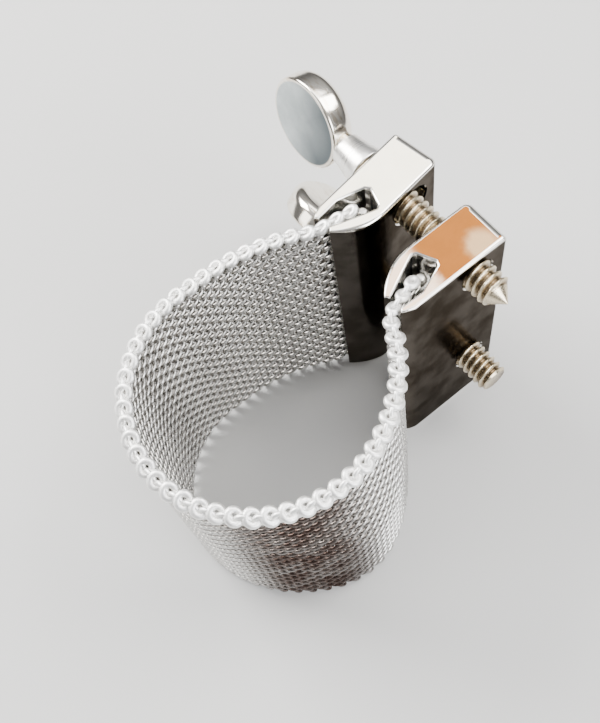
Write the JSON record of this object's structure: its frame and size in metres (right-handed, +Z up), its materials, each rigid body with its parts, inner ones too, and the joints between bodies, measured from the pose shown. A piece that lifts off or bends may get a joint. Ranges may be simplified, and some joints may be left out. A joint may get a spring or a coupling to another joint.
{
  "type": "saxophone ligature",
  "caption": "Woven metal band in a loop, its ends held in two slotted jaw bars that thumbscrews with round paddle heads draw together round a mouthpiece.",
  "frame": {"origin": "on the axis of the mouthpiece that the band grips, level with the band's lower edge", "axes": "+Z up along the mouthpiece, +X along the screws from heads to tips, +Y from the loop towards the jaw bars"},
  "size_m": [0.0391, 0.0406, 0.0326],
  "materials": {
    "jaw_plate": "polished",
    "woven_wire": "satin",
    "selvedge_wire": "polished",
    "pin_wire": "satin",
    "head_plate": "satin",
    "collar_plate": "polished",
    "thread_brass": "satin"
  },
  "bodies": {
    "left_half": {"left_jaw": "jaw_plate", "left_weave": "woven_wire", "left_selvedge": "selvedge_wire", "left_end_pin": "pin_wire"},
    "right_half": {"right_jaw": "jaw_plate", "right_weave": "woven_wire", "right_selvedge": "selvedge_wire", "right_end_pin": "pin_wire"},
    "upper_screw": {"upper_thumb_head": "head_plate", "upper_collar": "collar_plate", "upper_threaded_rod": "thread_brass"},
    "lower_screw": {"lower_thumb_head": "head_plate", "lower_collar": "collar_plate", "lower_threaded_rod": "thread_brass"}
  },
  "joints": [
    {"name": "clamp_slide", "type": "slide", "parent": "left_half", "child": "right_half", "axis": [1, 0, 0], "range_m": [-0.0036, 0.0048], "deforming": ["left_weave", "right_weave", "left_selvedge", "right_selvedge"]},
    {"name": "upper_screw_turn", "type": "hinge", "parent": "left_half", "child": "upper_screw", "pos_m": [-0.0117, 0.0231, 0.0274], "axis": [1, 0, 0], "range_deg": [-2160, 1620]},
    {"name": "lower_screw_turn", "type": "hinge", "parent": "left_half", "child": "lower_screw", "pos_m": [-0.0117, 0.0231, 0.0094], "axis": [1, 0, 0], "range_deg": [-2160, 1620]}
  ],
  "couplings": [
    {"joint": "upper_screw_turn", "follows": "clamp_slide", "rad_per_m": -7854},
    {"joint": "lower_screw_turn", "follows": "clamp_slide", "rad_per_m": -7854}
  ]
}
